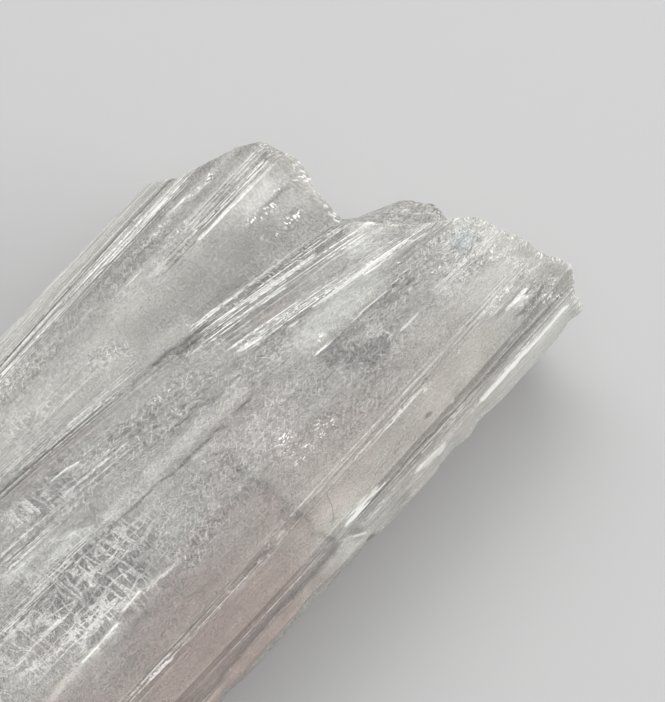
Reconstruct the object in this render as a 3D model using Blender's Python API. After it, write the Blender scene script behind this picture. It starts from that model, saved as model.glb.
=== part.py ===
"""A danburite crystal: a flattened prism, ribbed along its length, that lies on a flat prism face.

Metres, +Z up. +X runs along the prism to its stepped termination, +Y to its left edge as seen from
above. The origin is on the resting face, in the middle of the crystal's box.

The prism is a loft between three unlike sections. Each section lists the same lengthwise edges, and
every face between two edges is grooved with growth lines. A surface over the section closes each
end: the termination in two layers, with a low knob that stands out beyond the upper one, and the
root as an uneven break.
"""

import math
import random

import bmesh
import bpy
from mathutils import Vector, geometry, noise

MM = 0.001
LENGTH = 86.0
HALF = LENGTH / 2
STATIONS = (-HALF, 5.0, 38.0)  # where the three sections stand along X
SEED = 11

# Each lengthwise edge of the prism, over the top from left to right and back underneath: its (y, z)
# at the three stations, then the grooves on the face that follows it: how many, how deep, and the
# x from which they run to the termination.
EDGES = (
    ("left_rim", (15.9, 10.0), (17.4, 11.5), (17.5, 11.2), 3, 0.08, -40.0),
    ("left_bevel_crest", (13.5, 12.3), (15.1, 14.0), (15.4, 14.1), 0, 0.0, 0.0),
    ("left_groove", (13.2, 12.1), (14.8, 13.75), (15.1, 13.85), 3, 0.14, -25.0),
    ("left_band", (12.5, 12.5), (14.3, 14.3), (14.4, 14.4), 2, 0.12, -40.0),
    ("bright_ribs_start", (11.6, 12.9), (11.3, 15.2), (11.0, 15.4), 5, 0.24, 18.0),
    ("bright_ribs_end", (10.9, 13.1), (9.6, 15.3), (8.6, 15.7), 1, 0.05, -40.0),
    ("clear_face_foot", (9.2, 13.2), (6.6, 15.3), (0.6, 14.7), 2, 0.10, -10.0),
    ("streak_ridge", (8.3, 13.9), (5.4, 15.7), (-1.6, 15.6), 2, 0.12, -20.0),
    ("streak_ridge_foot", (6.9, 14.2), (3.3, 15.7), (-4.4, 15.7), 5, 0.10, -40.0),
    ("milky_crest", (2.5, 14.8), (-1.8, 16.15), (-6.3, 16.3), 0, 0.0, 0.0),
    ("crevice", (1.9, 14.6), (-2.6, 16.0), (-7.2, 16.2), 3, 0.08, -40.0),
    ("pane_edge", (-5.0, 14.6), (-7.5, 16.05), (-10.0, 16.0), 0, 0.0, 0.0),
    ("pane_foot", (-5.6, 14.4), (-8.2, 15.85), (-10.8, 15.9), 2, 0.06, -40.0),
    ("right_ridge", (-9.6, 13.9), (-12.1, 15.6), (-13.3, 15.6), 0, 0.0, 0.0),
    ("right_ridge_foot", (-10.2, 13.6), (-12.7, 15.35), (-13.9, 15.35), 0, 0.0, 0.0),
    ("side_ridge", (-11.7, 13.1), (-15.0, 14.7), (-16.1, 14.9), 1, 0.12, -40.0),
    ("right_groove", (-12.2, 12.2), (-15.5, 13.9), (-16.7, 13.8), 0, 0.0, 0.0),
    ("ledge_crest", (-12.9, 11.2), (-16.1, 12.5), (-17.5, 12.3), 2, 0.10, -40.0),
    ("right_rim", (-14.0, 8.4), (-16.6, 9.3), (-18.0, 9.6), 4, 0.32, -40.0),
    ("right_under_high", (-13.2, 5.6), (-15.6, 5.6), (-16.6, 6.0), 5, 0.36, -40.0),
    ("right_under_low", (-10.6, 2.4), (-12.6, 2.0), (-13.2, 2.4), 4, 0.32, -40.0),
    ("foot_right", (-7.4, 0.0), (-8.8, 0.0), (-9.0, 0.0), 2, 0.0, 0.0),
    ("foot_left", (6.6, 0.0), (8.0, 0.0), (8.2, 0.0), 4, 0.32, -40.0),
    ("left_under_low", (9.6, 2.2), (11.8, 2.4), (12.4, 2.2), 5, 0.36, -40.0),
    ("left_under_high", (13.0, 5.2), (15.0, 6.0), (15.8, 6.4), 4, 0.32, -40.0),
)
GROOVE_FADE = 8.0  # the length over which grooves start

# A slanting step across the right ledge: where it crosses each y, how far the ledge lies back on
# the root's side of it, and the length over which that fades.
STEP_LINE = ((-12.0, 12.4), (-15.7, 12.4), (-17.2, 16.2))
STEP_DEPTH, STEP_FADE, STEP_RISE = 0.7, 36.0, 0.6
STEPPED_EDGES = ("ledge_crest", "right_rim")

# How far the termination reaches along X at each y, in its upper and its lower layer.
UPPER_END = ((17.7, 28.5), (15.4, 29.0), (14.4, 29.8), (13.7, 31.7), (12.5, 34.6), (11.2, 36.0), (8.1, 36.4),
             (6.4, 35.9), (5.2, 35.2), (3.2, 35.0), (0.2, 34.4), (-1.7, 35.5), (-3.9, 37.3),
             (-6.3, 40.0), (-7.4, 41.0), (-10.6, 41.7), (-13.9, 42.1), (-14.8, 42.4), (-16.2, 43.0),
             (-16.8, 42.7), (-17.4, 42.0), (-18.0, 42.6))
LOWER_END = ((17.7, 28.2), (14.0, 30.8), (9.0, 35.3), (4.0, 36.4), (2.6, 37.7), (0.6, 41.7),
             (-2.4, 43.4), (-4.8, 42.4), (-9.0, 41.2), (-14.0, 41.8), (-16.8, 42.2), (-18.0, 43.0))
LOWER_TOP, UPPER_FOOT = 8.6, 12.0  # the lower layer's top and the upper layer's foot
TUCK_BELOW, TUCK = 4.5, 0.55  # the end draws back under this height, by this much per mm

# The bevel between the top faces and the termination: its length along X at each y.
END_BEVEL = ((17.7, 0.5), (11.5, 0.5), (9.5, 1.0), (7.8, 1.5), (5.0, 1.4), (3.0, 1.0), (0.5, 0.6),
             (-9.0, 0.5), (-18.0, 0.4))
END_BEVEL_DROP = 0.6  # how far the bevel falls per mm of its length
ROOT_BEVEL = 0.6
ROOT_LEAN = 0.35  # the root break leans back by this much per mm of height

# Creases that break the ends into flats: how many, and how much each one bends the surface.
TIP_CREASES, TIP_BEND = 9, 0.20
ROOT_CREASES, ROOT_BEND, ROOT_SETBACK = 8, 0.28, 2.66
CREASE_TOP = 5.0  # the height from which the termination's creases fade out upwards

ROOT_RINGS, TIP_RINGS = 10, 8  # loft rings on each side of the ledge's step
CAP_SPACING = 1.5
SECTION_MIDDLE = Vector((0.0, 7.5))


def along(points, at):
    """The value at a position on a broken line of (position, value), in either order."""
    ordered = sorted(points)
    if at <= ordered[0][0]:
        return ordered[0][1]
    for (a, low), (b, high) in zip(ordered, ordered[1:]):
        if at <= b:
            return low + (high - low) * (at - a) / (b - a)
    return ordered[-1][1]


def edge_at(face, x):
    """An edge's (y, z) at a place along the prism, on one smooth curve through its sections."""
    found = Vector((0.0, 0.0))
    for at, point in zip(STATIONS, EDGES[face % len(EDGES)][1:4]):
        others = [other for other in STATIONS if other != at]
        found += Vector(point) * math.prod((x - other) / (at - other) for other in others)
    return found


def lengthwise_lines():
    """The loft's lengthwise lines: each one's face, share of the face's width, and depth."""
    lines = []
    for face, (*_, grooves, depth, _) in enumerate(EDGES):
        draw = random.Random(SEED + face)
        lines.append((face, 0.0, 0.0))
        for groove in range(grooves):
            bottom = (groove + draw.uniform(0.3, 0.7)) / grooves
            lines.append((face, bottom, depth * draw.uniform(0.5, 1.0)))
            if groove < grooves - 1:
                crest = (groove + 1 + draw.uniform(-0.15, 0.15)) / grooves
                lines.append((face, crest, depth * draw.uniform(0.0, 0.2)))
    return lines


def step_place(y):
    """Where the ledge's step crosses this y."""
    return along(STEP_LINE, y)


def step_setback(y, x):
    """How far the ledge lies back at this place, on the root's side of its step."""
    behind = step_place(y) - x
    return STEP_DEPTH * min(max(behind / STEP_RISE, 0.0), 1.0) * max(1.0 - behind / STEP_FADE, 0.0)


def line_at(line, x):
    """A lengthwise line's (y, z) at x. Grooves wax and wane along the crystal."""
    face, share, depth = line
    name, *_, grooves_from = EDGES[face]
    start, end = edge_at(face, x), edge_at(face + 1, x)
    started = min(max((x - grooves_from) / GROOVE_FADE, 0.0), 1.0)
    swell = 0.7 + 0.9 * noise.noise(Vector((x / 16.0, face * 3.1, share * 5.0)))
    depth *= started * min(max(swell, 0.0), 1.0)
    if name in STEPPED_EDGES and share < 0.5:
        depth += step_setback(start.x, x)
    across = end - start
    inward = Vector((across.y, -across.x)).normalized()
    return start + across * share - inward * depth


def creased(y, z, count, bend, seed):
    """A folded surface: flats that meet at straight creases, some raised and some sunk."""
    draw = random.Random(seed)
    height = 0.0
    for crease in range(count):
        angle = draw.uniform(0.0, math.pi)
        offset = draw.uniform(-9.0, 9.0) * abs(math.cos(angle)) + draw.uniform(-3.0, 3.0)
        sign = 1 if crease % 2 else -1
        away = y * math.cos(angle) + (z - SECTION_MIDDLE.y) * math.sin(angle) - offset
        height += sign * bend * draw.uniform(0.5, 1.0) * abs(away)
    return height


def tip_end(y, z):
    """How far the termination reaches along X at this place in the section."""
    upper, lower = along(UPPER_END, y), along(LOWER_END, y)
    rise = min(max((z - LOWER_TOP) / (UPPER_FOOT - LOWER_TOP), 0.0), 1.0)
    tuck = TUCK * max(TUCK_BELOW - z, 0.0)
    rough = min(max((LOWER_TOP - z) / CREASE_TOP, 0.0), 1.0)
    return lower + (upper - lower) * rise - tuck + rough * creased(y, z, TIP_CREASES, TIP_BEND, 4)


def root_end(y, z):
    """Where the root's break is along X at this place in the section."""
    return ROOT_SETBACK - HALF + ROOT_LEAN * z + creased(y, z, ROOT_CREASES, ROOT_BEND, 23)


def spread(first, last, steps):
    return [first + (last - first) * i / steps for i in range(steps + 1)]


def line_points(line):
    """A lengthwise line's points, from the root's rim to the termination's."""
    tip_rim = line_at(line, STATIONS[2])
    start, end = root_end(*line_at(line, STATIONS[0])), tip_end(*tip_rim)
    bevel = along(END_BEVEL, tip_rim.x)
    first, last = start + ROOT_BEVEL, end - bevel
    step = step_place(tip_rim.x)
    body = spread(first, step - STEP_RISE, ROOT_RINGS) + spread(step, last, TIP_RINGS)
    points = [Vector((x, *line_at(line, x))) for x in body]
    for x, drop in ((start, ROOT_BEVEL), (end, bevel * END_BEVEL_DROP)):
        rim = line_at(line, x)
        inward = (SECTION_MIDDLE - rim).normalized() * drop
        if rim.y < 0.1:  # the resting face stays flat to its ends
            inward.y = 0.0
        points.insert(0 if x == start else len(points), Vector((x, *(rim + inward))))
    return points


def inside(point, outline):
    """Whether a section point is within a closed outline."""
    crossings = 0
    for a, b in zip(outline, outline[1:] + outline[:1]):
        if (a.y > point.y) != (b.y > point.y):
            crossings += point.x < a.x + (b.x - a.x) * (point.y - a.y) / (b.y - a.y)
    return crossings % 2 == 1


def close_end(mesh, rim_points, rim, surface):
    """Fills an end from its rim with a net of points on the end's surface."""
    outline = [p.yz for p in rim_points]
    inner = [SECTION_MIDDLE + (p - SECTION_MIDDLE) * 0.93 for p in outline]
    draw = random.Random(SEED)
    net = []
    for row in range(1, int(17.0 / CAP_SPACING) + 1):
        for column in range(-int(18.0 / CAP_SPACING), int(18.0 / CAP_SPACING) + 1):
            shift = 0.5 * (row % 2)
            y = (column + shift + draw.uniform(-0.2, 0.2)) * CAP_SPACING
            point = Vector((y, (row + draw.uniform(-0.2, 0.2)) * CAP_SPACING * 0.87))
            if inside(point, inner):
                net.append(point)
    ring = list(range(len(outline)))
    found = geometry.delaunay_2d_cdt(outline + net, [], [ring], 1, 1e-7)
    placed = list(rim) + [mesh.verts.new(Vector((surface(*p), *p)) * MM) for p in net]
    for triangle in found[2]:
        mesh.faces.new([placed[found[3][corner][0]] for corner in triangle])


def bridge(mesh, first, second):
    """Quads between two rings of the same count."""
    for i in range(len(first)):
        j = (i + 1) % len(first)
        mesh.faces.new((first[i], first[j], second[j], second[i]))


def crystal_mesh():
    lines = [line_points(line) for line in lengthwise_lines()]
    rings = [list(points) for points in zip(*lines)]
    mesh = bmesh.new()
    placed = [[mesh.verts.new(p * MM) for p in ring] for ring in rings]
    for first, second in zip(placed, placed[1:]):
        bridge(mesh, first, second)
    close_end(mesh, rings[0], placed[0], root_end)
    close_end(mesh, rings[-1], placed[-1], tip_end)
    bmesh.ops.recalc_face_normals(mesh, faces=mesh.faces)
    bmesh.ops.triangulate(mesh, faces=mesh.faces)
    return mesh


def centre_on_base(mesh):
    """Moves the mesh so that the origin is at the middle of its box, on its lowest face."""
    lows = [min(v.co[i] for v in mesh.verts) for i in range(3)]
    highs = [max(v.co[i] for v in mesh.verts) for i in range(3)]
    middle = Vector(((lows[0] + highs[0]) / 2, (lows[1] + highs[1]) / 2, lows[2]))
    bmesh.ops.translate(mesh, verts=mesh.verts, vec=-middle)


def crystal_material():
    material = bpy.data.materials.new("danburite")
    material.use_nodes = True
    shader = material.node_tree.nodes["Principled BSDF"]
    shader.inputs["Base Color"].default_value = (0.86, 0.85, 0.83, 1.0)
    shader.inputs["Roughness"].default_value = 0.15
    shader.inputs["Transmission Weight"].default_value = 0.7
    shader.inputs["IOR"].default_value = 1.63
    return material


def main():
    for old in list(bpy.data.objects):
        bpy.data.objects.remove(old)
    collection = bpy.data.collections.new("danburite_crystal")
    bpy.context.scene.collection.children.link(collection)
    mesh = crystal_mesh()
    centre_on_base(mesh)
    data = bpy.data.meshes.new("danburite_crystal")
    mesh.to_mesh(data)
    mesh.free()
    data.materials.append(crystal_material())
    collection.objects.link(bpy.data.objects.new("danburite_crystal", data))


main()
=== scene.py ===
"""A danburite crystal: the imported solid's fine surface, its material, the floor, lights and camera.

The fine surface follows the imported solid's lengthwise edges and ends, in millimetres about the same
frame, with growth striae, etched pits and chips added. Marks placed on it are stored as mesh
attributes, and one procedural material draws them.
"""

import math
import random

import bpy
import numpy as np
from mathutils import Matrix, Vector, geometry, noise


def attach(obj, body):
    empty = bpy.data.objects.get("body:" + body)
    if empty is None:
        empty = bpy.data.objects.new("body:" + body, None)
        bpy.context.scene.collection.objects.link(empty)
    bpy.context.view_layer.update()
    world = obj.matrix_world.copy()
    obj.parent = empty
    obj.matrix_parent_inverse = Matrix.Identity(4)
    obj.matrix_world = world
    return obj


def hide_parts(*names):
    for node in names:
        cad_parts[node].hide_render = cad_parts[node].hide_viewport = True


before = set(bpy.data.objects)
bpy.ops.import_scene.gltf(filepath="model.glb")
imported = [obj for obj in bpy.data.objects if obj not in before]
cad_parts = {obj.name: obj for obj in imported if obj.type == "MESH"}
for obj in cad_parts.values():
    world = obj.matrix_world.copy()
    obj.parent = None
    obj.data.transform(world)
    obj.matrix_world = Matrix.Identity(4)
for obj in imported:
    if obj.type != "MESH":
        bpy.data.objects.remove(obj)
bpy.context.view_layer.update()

MM = 0.001
HALF = 43.0
STATIONS = (-HALF, 5.0, 38.0)  # where the three sections stand along X
ROOT, MIDDLE, TIP = STATIONS
SEED = 11

# Each lengthwise edge of the prism, over the top from left to right and back underneath: its (y, z)
# at the three stations, then the grooves on the face that follows it: how many, how deep, and the
# x from which they run to the termination.
EDGES = (
    ("left_rim", (15.9, 10.0), (17.4, 11.5), (17.5, 11.2), 3, 0.08, -40.0),
    ("left_bevel_crest", (13.5, 12.3), (15.1, 14.0), (15.4, 14.1), 0, 0.0, 0.0),
    ("left_groove", (13.2, 12.1), (14.8, 13.75), (15.1, 13.85), 3, 0.14, -25.0),
    ("left_band", (12.5, 12.5), (14.3, 14.3), (14.4, 14.4), 2, 0.12, -40.0),
    ("bright_ribs_start", (11.6, 12.9), (11.3, 15.2), (11.0, 15.4), 5, 0.24, 18.0),
    ("bright_ribs_end", (10.9, 13.1), (9.6, 15.3), (8.6, 15.7), 1, 0.05, -40.0),
    ("clear_face_foot", (9.2, 13.2), (6.6, 15.3), (0.6, 14.7), 2, 0.10, -10.0),
    ("streak_ridge", (8.3, 13.9), (5.4, 15.7), (-1.6, 15.6), 2, 0.12, -20.0),
    ("streak_ridge_foot", (6.9, 14.2), (3.3, 15.7), (-4.4, 15.7), 5, 0.10, -40.0),
    ("milky_crest", (2.5, 14.8), (-1.8, 16.15), (-6.3, 16.3), 0, 0.0, 0.0),
    ("crevice", (1.9, 14.6), (-2.6, 16.0), (-7.2, 16.2), 3, 0.08, -40.0),
    ("pane_edge", (-5.0, 14.6), (-7.5, 16.05), (-10.0, 16.0), 0, 0.0, 0.0),
    ("pane_foot", (-5.6, 14.4), (-8.2, 15.85), (-10.8, 15.9), 2, 0.06, -40.0),
    ("right_ridge", (-9.6, 13.9), (-12.1, 15.6), (-13.3, 15.6), 0, 0.0, 0.0),
    ("right_ridge_foot", (-10.2, 13.6), (-12.7, 15.35), (-13.9, 15.35), 0, 0.0, 0.0),
    ("side_ridge", (-11.7, 13.1), (-15.0, 14.7), (-16.1, 14.9), 1, 0.12, -40.0),
    ("right_groove", (-12.2, 12.2), (-15.5, 13.9), (-16.7, 13.8), 0, 0.0, 0.0),
    ("ledge_crest", (-12.9, 11.2), (-16.1, 12.5), (-17.5, 12.3), 2, 0.10, -40.0),
    ("right_rim", (-14.0, 8.4), (-16.6, 9.3), (-18.0, 9.6), 4, 0.32, -40.0),
    ("right_under_high", (-13.2, 5.6), (-15.6, 5.6), (-16.6, 6.0), 5, 0.36, -40.0),
    ("right_under_low", (-10.6, 2.4), (-12.6, 2.0), (-13.2, 2.4), 4, 0.32, -40.0),
    ("foot_right", (-7.4, 0.0), (-8.8, 0.0), (-9.0, 0.0), 2, 0.0, 0.0),
    ("foot_left", (6.6, 0.0), (8.0, 0.0), (8.2, 0.0), 4, 0.32, -40.0),
    ("left_under_low", (9.6, 2.2), (11.8, 2.4), (12.4, 2.2), 5, 0.36, -40.0),
    ("left_under_high", (13.0, 5.2), (15.0, 6.0), (15.8, 6.4), 4, 0.32, -40.0),
)
GROOVE_FADE = 8.0  # the length over which grooves start

# A slanting step across the right ledge: where it crosses each y, how far the ledge lies back on
# the root's side of it, and the length over which that fades.
STEP_LINE = ((-12.0, 12.4), (-15.7, 12.4), (-17.2, 16.2))
STEP_DEPTH, STEP_FADE, STEP_RISE = 0.7, 36.0, 0.6
STEPPED_EDGES = ("ledge_crest", "right_rim")

# How far the termination reaches along X at each y, in its upper and its lower layer.
UPPER_END = (
    (17.7, 28.5), (15.4, 29.0), (14.4, 29.8), (13.7, 31.7), (12.5, 34.6), (11.2, 36.0), (8.1, 36.4),
    (6.4, 35.9), (5.2, 35.2), (3.2, 35.0), (0.2, 34.4), (-1.7, 35.5), (-3.9, 37.3), (-6.3, 40.0),
    (-7.4, 41.0), (-10.6, 41.7), (-13.9, 42.1), (-14.8, 42.4), (-16.2, 43.0), (-16.8, 42.7), (-17.4, 42.0),
    (-18.0, 42.6),
)
LOWER_END = (
    (17.7, 28.2), (14.0, 30.8), (9.0, 35.3), (4.0, 36.4), (2.6, 37.7), (0.6, 41.7), (-2.4, 43.4),
    (-4.8, 42.4), (-9.0, 41.2), (-14.0, 41.8), (-16.8, 42.2), (-18.0, 43.0),
)
LOWER_TOP, UPPER_FOOT = 8.6, 12.0  # the lower layer's top and the upper layer's foot
TUCK_BELOW, TUCK = 4.5, 0.55  # the end draws back under this height, by this much per mm

# The bevel between the top faces and the termination: its length along X at each y.
END_BEVEL = (
    (17.7, 0.5), (11.5, 0.5), (9.5, 1.0), (7.8, 1.5), (5.0, 1.4), (3.0, 1.0), (0.5, 0.6), (-9.0, 0.5),
    (-18.0, 0.4),
)
END_BEVEL_DROP = 0.6  # how far the bevel falls per mm of its length
ROOT_BEVEL = 0.6
ROOT_LEAN = 0.35  # the root break leans back by this much per mm of height

# Creases that break the ends into flats: how many, how much each bends the surface, and a seed.
TIP_CREASES = (9, 0.20, 4)
ROOT_CREASES = (8, 0.28, 23)
ROOT_SETBACK = 2.66
CREASE_TOP = 5.0  # the height from which the termination's creases fade out upwards
SECTION_MIDDLE = Vector((0.0, 7.5))
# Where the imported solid's box puts the sections' own middle.
SHIFT = np.array((-0.014, 0.310, 0.0))

# The fine surface. Its lengthwise lines lie closer together above TOP_FROM.
TOP_SPACING, SIDE_SPACING, TOP_FROM = 0.135, 0.34, 9.0
RINGS_SEEN, RINGS_FAR = 150, 44
SEAM = -14.0  # the rings are closer together from here to the tip
TABLE_PAST, TABLE_PLACES = 4.0, 377  # the places each line is worked out at, to past the ends
# The net over an end: its spacing, then its rows' and how far a point strays, in units of that.
CAP_SPACING, CAP_ROW, CAP_STRAY = 0.62, 0.87, 0.2
CAP_WIDE, CAP_HIGH = 18.5, 17.0  # how far it reaches to each side and up
CAP_INSIDE = 0.97  # the share of the outline that it fills
CAP_GRAIN = 200.0  # how far off an end's grain is taken from
SHARP_ANGLE = 32.0

# Depths in mm. Striae are fine, middling and broad. An end's chips and dents are small and large.
STRIA_DEPTHS = (0.03, 0.05, 0.035)
PIT_DEPTH, RIDGE_RISE, RELIEF_BASE = 0.03, 0.03, 0.03
RIM_CHIP_DEPTH = 0.22
CHIP_NOISES = ((0.55, 5), (2.1, 6))  # size and seed
TIP_CHIPS, ROOT_CHIPS = (0.24, 0.22), (0.5, 0.6)
TIP_DENTS, ROOT_DENTS = (-0.2, -0.3), (0.3, 0.8)
EDGE_SHARP = 0.09  # a sharp crest's rise over 0.27 mm to each side

# How each face looks, from 0 to 1: its striae's strength, its crackle and its milkiness. On the left
# rim, bevel crest and groove, the right groove and the ledge crest the milkiness is also painted light,
# lifting faces that turn from the lamps. LOOK_BELOW is for the faces underneath.
LOOKS = dict(
    left_rim=(0.5, 0, 0.9), left_bevel_crest=(0.4, 0.1, 0.8), left_groove=(0.9, 0.1, 0.4),
    left_band=(0.6, 0.5, 0.12), bright_ribs_start=(0.5, 0.4, 0.25), bright_ribs_end=(0.08, 0.1, 0.1),
    clear_face_foot=(0.7, 0.35, 0.15), streak_ridge=(0.7, 0.4, 0.2), streak_ridge_foot=(0.4, 0.5, 0.25),
    milky_crest=(0.12, 0.4, 0.35), crevice=(0.12, 0.5, 0.25), pane_edge=(0.15, 0.5, 0.25),
    pane_foot=(0.1, 0.3, 0.2), right_ridge=(0.5, 0.15, 0.25), right_ridge_foot=(0.2, 0.1, 0.2),
    side_ridge=(0.5, 0.1, 0.2), right_groove=(0.25, 0.05, 0.6), ledge_crest=(0.2, 0.05, 0.9),
)
LOOK_BELOW = (0.8, 0.3, 0.3)
LOOK_BLEND = 21  # the fine lines over which one face's look passes into the next

# Marks on the top faces, in mm. A patch: its strength, middle (x, y), half sizes, and any turn in
# degrees. A stroke: its strength, start (x, y), end (x, y) and half width.
MILK_PATCHES = (
    (0.8, 27, -3.8, 8, 1.7, -4), (0.45, 37, -9.5, 5, 6), (0.45, 29, 12, 6, 1.2), (0.36, -9, -5.5, 6, 3.5),
    (0.4, 33.5, 7, 3, 5, 10), (0.2, 16, -6, 5, 1.8), (0.55, 34, -1.5, 4, 2.2, -10),
    (0.3, 13, 8.2, 3.5, 1.6, -10),
)
MILK_STROKES = (
    (0.7, -34, 3.6, -9, 2.2, 0.8), (1, -7, 1.6, 1, -1.2, 0.6), (0.5, 1, -1.3, 17, -2.5, 0.6),
    (0.35, 15, -16.9, 42, -17.7, 0.7), (0.45, 6, 16.9, 28, 17, 0.8), (0.7, 9.5, -3.8, 13, -3.9, 0.3),
)
CRACKLE_PATCHES = (
    (0.6, -22, -4, 12, 3.5), (0.7, -18, 6, 12, 3, -4), (0.6, -34, 1, 9, 6), (1, 1.5, 3.2, 6, 2.4, -8),
    (0.4, -4, -4, 9, 3.6, -4), (1, 26, -7.9, 3.8, 2.6), (1, 31.6, -6.8, 3.4, 1.3, -4),
    (0.8, 12, 8.2, 3.6, 1.6, -10), (1, 10.5, 1.5, 7, 2, -10), (0.9, 17, 3.3, 3.6, 1.1, -14),
    (0.9, 10, 12.4, 8, 1.2), (0.8, 4.5, -7.8, 4, 1.2), (0.6, 37, -7.5, 4, 3.2), (0.8, 20, 12.2, 6, 1),
    (0.7, 38, -15.5, 3, 1.4), (0.55, 20, -2, 7, 1.6, -4), (0.35, 14, -6, 10, 3), (0.35, 22, -10.5, 9, 1.6),
    (0.5, 2, 7.5, 6, 1.2, -8),
)
# Darker marks. The patches at the break across the face beside the pane, near x 11-12 and y -9 to -12.5,
# are painted shade.
DARK_PATCHES = (
    (0.25, -20, -3.5, 7, 2.5), (0.2, -28, 7, 8, 2), (0.45, 25, 6, 8, 2.6, -12),
    (0.35, 19, 6.6, 7, 1.8, -12), (0.55, 23, 4.2, 5, 1, -14), (0.4, 3, 6.2, 5.5, 1.5, -8),
    (0.22, 22, 7.5, 8, 1.8, -6), (0.48, -1, 6.6, 4, 1.4, -8), (0.35, 12.5, -0.6, 4, 0.8, -6),
    (0.35, 30.5, 4.4, 3.4, 1.2, -10), (0.25, 5, 4.6, 3, 0.9, -8), (0.12, 0, -11, 14, 4),
    (0.18, 2, -14, 10, 1.2), (0.95, 25.8, -8.4, 2.4, 1.4, -12), (0.6, 24.6, -6.4, 2.8, 1.1),
    (0.7, 32.6, -6.8, 0.8, 0.5), (0.45, 29.9, -6.5, 1.5, 0.45, -4), (0.45, 1.5, 3.6, 4.4, 1.7, -8),
    (0.46, -1.8, -3.8, 6.4, 3.2, -4), (0.65, 17.4, 3.9, 2.9, 0.7, -14), (0.35, 19.8, 1.6, 1.3, 1.6),
    (0.32, 24, 0.3, 3.2, 0.9, -16), (0.25, 9, 2.4, 4, 1.2, -8), (1.6, 24.8, -15, 0.55, 0.2),
    (0.9, 38, -15.55, 1.2, 0.22), (0.45, 18, 12.9, 9, 1.3), (0.25, 24, 12, 5, 1.6),
    (0.25, 21.5, 8.9, 3.4, 1.2, -10), (0.35, 12, 10.8, 5, 0.9), (0.6, 3.6, 6.5, 1.5, 0.4, -10),
    (0.35, -4, 0.3, 5, 0.5), (0.45, 1.5, -0.5, 1.3, 0.7, -12), (0.5, 12.5, -0.9, 0.9, 0.5),
    (0.5, 18.2, -0.8, 1.3, 0.4), (0.55, 10.8, 1.3, 0.6, 0.6, -45), (0.5, 11.5, -9.4, 0.6, 0.7),
    (0.45, 10.9, -11.7, 0.8, 0.7, -20), (0.45, 12, -12.2, 0.35, 0.9), (0.4, 38, -8, 0.35, 0.5),
    (0.25, 32, -9.9, 1.2, 0.3), (0.5, 6.2, -8.6, 0.4, 0.3),
)
# The dark strokes along the left groove, the crevice and the groove bottoms by the right ledge, and those
# under the etched marks near x 28-34, are painted shade.
DARK_STROKES = (
    (0.9, 8, 13.62, 27, 13.6, 0.09), (0.7, 5, 14.85, 29, 15.05, 0.07), (0.5, 26, 10.6, 34.6, 10.55, 0.07),
    (0.5, 26, 10.05, 34.6, 10, 0.07), (0.6, 26, 9.62, 34.6, 9.5, 0.08), (0.6, 25, 9.2, 34.6, 9.05, 0.08),
    (0.4, 20, 13.1, 28, 13, 0.12), (0.8, -9, -1.3, -2, -1.8, 0.1), (1, -2, -1.8, 6.8, -2.5, 0.08),
    (1, 6.8, -2.5, 8.2, -2.9, 0.08), (1, 8.2, -2.9, 13.4, -3.25, 0.07), (1, 14.8, -3.4, 16.6, -3.6, 0.1),
    (0.7, -6, -11.55, 12, -12.2, 0.12), (0.5, -6, -15.2, 12.4, -15.85, 0.12),
    (0.8, 14.6, -15.85, 41, -16.8, 0.05), (0.3, 20, -16.35, 36, -16.8, 0.04),
    (0.35, -6, -8.5, 4, -8.3, 0.25), (0.6, -9, -3, -5.5, -3.1, 0.1), (0.6, 1, 2.3, 5, 2.1, 0.12),
    (0.5, -5.5, 2.4, 0, 2.2, 0.12), (0.9, 30.6, 6.7, 33.8, 6.55, 0.14), (0.9, 31.6, 4.9, 32.6, 4.6, 0.2),
    (0.5, 31.4, 3.5, 33, 3.3, 0.12), (0.5, 28.5, 4.6, 30.2, 4.4, 0.12), (0.6, 22.6, -5.5, 24.6, -5.6, 0.16),
    (0.6, 26.5, -5.85, 33.6, -6.3, 0.08), (1.2, 35.8, -15.4, 39.6, -15.5, 0.1),
    (0.6, 30, 12.3, 31, 12.2, 0.14), (0.3, 20, 10.4, 24, 10.3, 0.1), (0.5, 34.4, -14.2, 38, -14.3, 0.14),
    (0.7, 20.1, 2.05, 26.8, 0.35, 0.1), (0.6, 22, 3.35, 27.5, 2.15, 0.1), (0.5, 24, 2.3, 30, 0.75, 0.08),
    (0.5, 6, 14.2, 20, 14.2, 0.06),
)
# Painted glints: clouds of small bright flecks, in patches and in strokes.
GLINT_PATCHES = (
    (0.9, 15.8, -8.2, 1.9, 0.9), (0.8, 16.3, -9.5, 1.6, 0.6), (0.8, 18.5, -9.2, 1.2, 0.8),
    (0.7, 6, 13, 3, 1.2), (0.55, 37.4, -8.5, 3.5, 3), (0.9, 29.5, 12.2, 2.6, 0.5),
    (0.7, 24.5, 12.4, 2, 0.4), (0.8, 25, 10.9, 1.6, 0.5), (1, 27.7, 3, 0.6, 0.35),
    (0.9, 24.3, -4.3, 0.7, 0.6), (0.7, 17, -4.6, 0.6, 0.5), (0.5, 39.5, -12, 1.6, 3.5),
    (0.8, 35.2, 6.6, 0.6, 1.4), (0.8, 23.5, 12.4, 1.6, 0.5), (0.7, 16.1, -2.2, 0.8, 0.4),
    (0.6, 40, -15.6, 1.2, 0.9), (1, 29.3, -13.7, 0.6, 0.25), (0.9, 30.6, -13.6, 0.5, 0.2),
    (1, 35.6, -13.6, 2, 0.5), (0.6, 35.5, -9.8, 1.6, 0.5),
)
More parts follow.
